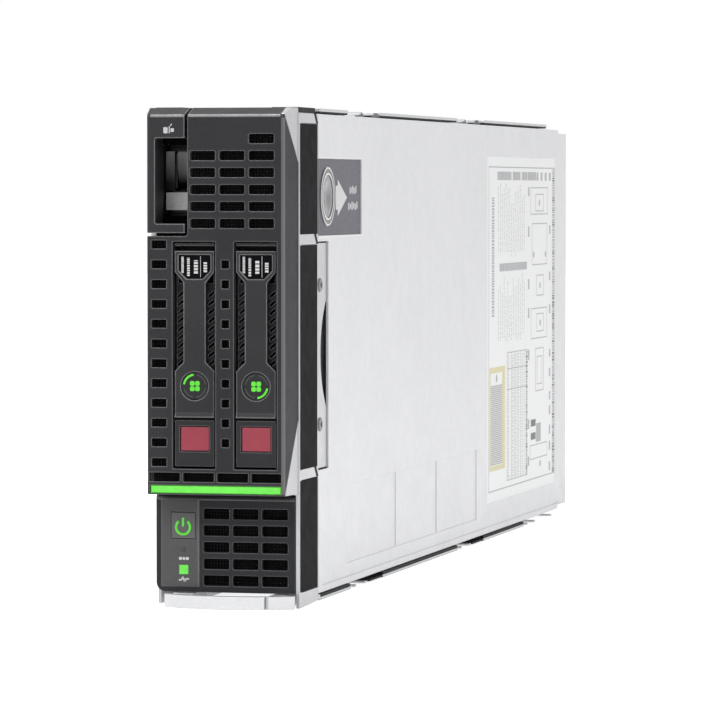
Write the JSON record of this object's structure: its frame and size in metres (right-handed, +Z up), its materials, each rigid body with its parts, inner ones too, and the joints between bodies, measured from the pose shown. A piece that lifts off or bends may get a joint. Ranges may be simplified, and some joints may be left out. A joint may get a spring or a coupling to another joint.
{
  "type": "blade server",
  "caption": "Narrow upright blade server: dark grilled bezel with front-loaded drives, light bar, foot lever, pull tab and a lift-off side access panel over the system board.",
  "frame": {"origin": "middle of the footprint, on the plane of the lower guide rails", "axes": "+X towards the access panel, +Y from the bezel to the rear connectors, +Z up"},
  "size_m": [0.0556, 0.5176, 0.1816],
  "materials": {
    "bezel_plastic": "dark grey moulded plastic, fine satin grain",
    "carrier_plastic": "near-black moulded plastic, satin",
    "handle_plastic": "dark grey moulded plastic, satin",
    "frame_metal": "light satin zinc-coated steel",
    "tray_metal": "zinc-coated sheet steel",
    "panel_metal": "zinc-coated sheet steel, faintly mottled",
    "strip_black": "black matt coating",
    "rubber_black": "black matt rubber",
    "label_sheet": "white film",
    "lever_metal": "satin bright metal",
    "button_red": "deep red plastic",
    "button_dark": "dark plastic",
    "light_green": "lit green lens",
    "status_face": "dark lens with green segments",
    "catch_plastic": "grey-blue plastic",
    "catch_metal": "satin metal ring",
    "board_green": "green solder mask",
    "connector_black": "black connector plastic",
    "connector_light": "light connector plastic",
    "heatsink_metal": "plain aluminium",
    "chip_metal": "nickel-plated lid",
    "disk_metal": "cast disk case",
    "steel_plain": "bright steel",
    "cell_metal": "bright steel",
    "clear_plastic": "clear moulded cover",
    "pack_plastic": "dark blue sleeve"
  },
  "bodies": {
    "chassis": {"chassis_tray": "tray_metal", "front_frame": "frame_metal", "rear_wall": "tray_metal", "bulkhead": "strip_black", "bay_collars": "bezel_plastic", "upper_bezel": "bezel_plastic", "lower_bezel": "bezel_plastic", "light_bar": "light_green", "edge_strips": "strip_black", "guide_rails": "tray_metal", "rail_pads": "rubber_black", "tab_guide": "connector_black", "front_connector": "connector_black", "status_lights": "light_green", "control_board": "board_green", "lever_pivot_pin": "steel_plain", "drive_cage": "tray_metal", "drive_backplane": "board_green", "backplane_connectors": "connector_black", "cage_bracket": "frame_metal", "system_board": "board_green", "board_standoffs": "steel_plain", "cpu_sockets": "connector_light", "processors": "chip_metal", "heatsink_front": "heatsink_metal", "heatsink_rear": "heatsink_metal", "dimm_sockets": "connector_black", "memory_modules": "board_green", "air_baffle": "clear_plastic", "network_module": "board_green", "mezzanine_lower": "board_green", "mezzanine_upper": "board_green", "card_connectors": "connector_black", "storage_controller": "board_green", "cell_holder": "connector_light", "coin_cell": "cell_metal", "internal_port": "steel_plain", "capacitor_pack": "pack_plastic", "rear_connectors": "connector_black"},
    "pull_tab": {"pull_tab": "handle_plastic"},
    "power_button": {"power_button": "button_dark"},
    "release_lever": {"release_lever": "lever_metal"},
    "lever_button": {"lever_button": "lever_metal"},
    "access_panel": {"access_panel": "panel_metal", "service_label": "label_sheet", "catch_ring": "catch_metal"},
    "panel_catch": {"catch_button": "catch_plastic"},
    "drive_1": {"drive_1_carrier": "carrier_plastic", "drive_1_disk": "disk_metal", "drive_1_handle_pin": "steel_plain", "drive_1_status_ring": "status_face"},
    "drive_1_handle": {"drive_1_handle": "handle_plastic"},
    "drive_1_button": {"drive_1_button": "button_red"},
    "drive_2": {"drive_2_carrier": "carrier_plastic", "drive_2_disk": "disk_metal", "drive_2_handle_pin": "steel_plain", "drive_2_status_ring": "status_face"},
    "drive_2_handle": {"drive_2_handle": "handle_plastic"},
    "drive_2_button": {"drive_2_button": "button_red"}
  },
  "joints": [
    {"name": "pull_tab_slide", "type": "slide", "parent": "chassis", "child": "pull_tab", "axis": [0, -1, 0], "range_m": [0, 0.05]},
    {"name": "power_button_press", "type": "slide", "parent": "chassis", "child": "power_button", "axis": [0, 1, 0], "range_m": [0, 0.0008], "stiffness_N_per_m": 500},
    {"name": "release_lever_hinge", "type": "hinge", "parent": "chassis", "child": "release_lever", "pos_m": [-0.016, -0.2418, 0.0026], "axis": [0, 0, -1], "range_deg": [0, 70]},
    {"name": "lever_button_press", "type": "slide", "parent": "chassis", "child": "lever_button", "axis": [0, 1, 0], "range_m": [0, 0.0015], "stiffness_N_per_m": 600},
    {"name": "access_panel_lift", "type": "slide", "parent": "chassis", "child": "access_panel", "axis": [1, 0, 0], "range_m": [0, 0.12]},
    {"name": "panel_catch_press", "type": "slide", "parent": "access_panel", "child": "panel_catch", "axis": [-1, 0, 0], "range_m": [0, 0.0025], "stiffness_N_per_m": 600},
    {"name": "drive_1_slide", "type": "slide", "parent": "chassis", "child": "drive_1", "axis": [0, -1, 0], "range_m": [0, 0.135]},
    {"name": "drive_1_handle_hinge", "type": "hinge", "parent": "drive_1", "child": "drive_1_handle", "pos_m": [-0.008, -0.2545, 0.1268], "axis": [-1, 0, 0], "range_deg": [0, 50]},
    {"name": "drive_1_button_press", "type": "slide", "parent": "drive_1", "child": "drive_1_button", "axis": [0, 1, 0], "range_m": [0, 0.0015], "stiffness_N_per_m": 500},
    {"name": "drive_2_slide", "type": "slide", "parent": "chassis", "child": "drive_2", "axis": [0, -1, 0], "range_m": [0, 0.135]},
    {"name": "drive_2_handle_hinge", "type": "hinge", "parent": "drive_2", "child": "drive_2_handle", "pos_m": [0.0149, -0.2545, 0.1268], "axis": [-1, 0, 0], "range_deg": [0, 50]},
    {"name": "drive_2_button_press", "type": "slide", "parent": "drive_2", "child": "drive_2_button", "axis": [0, 1, 0], "range_m": [0, 0.0015], "stiffness_N_per_m": 500}
  ]
}
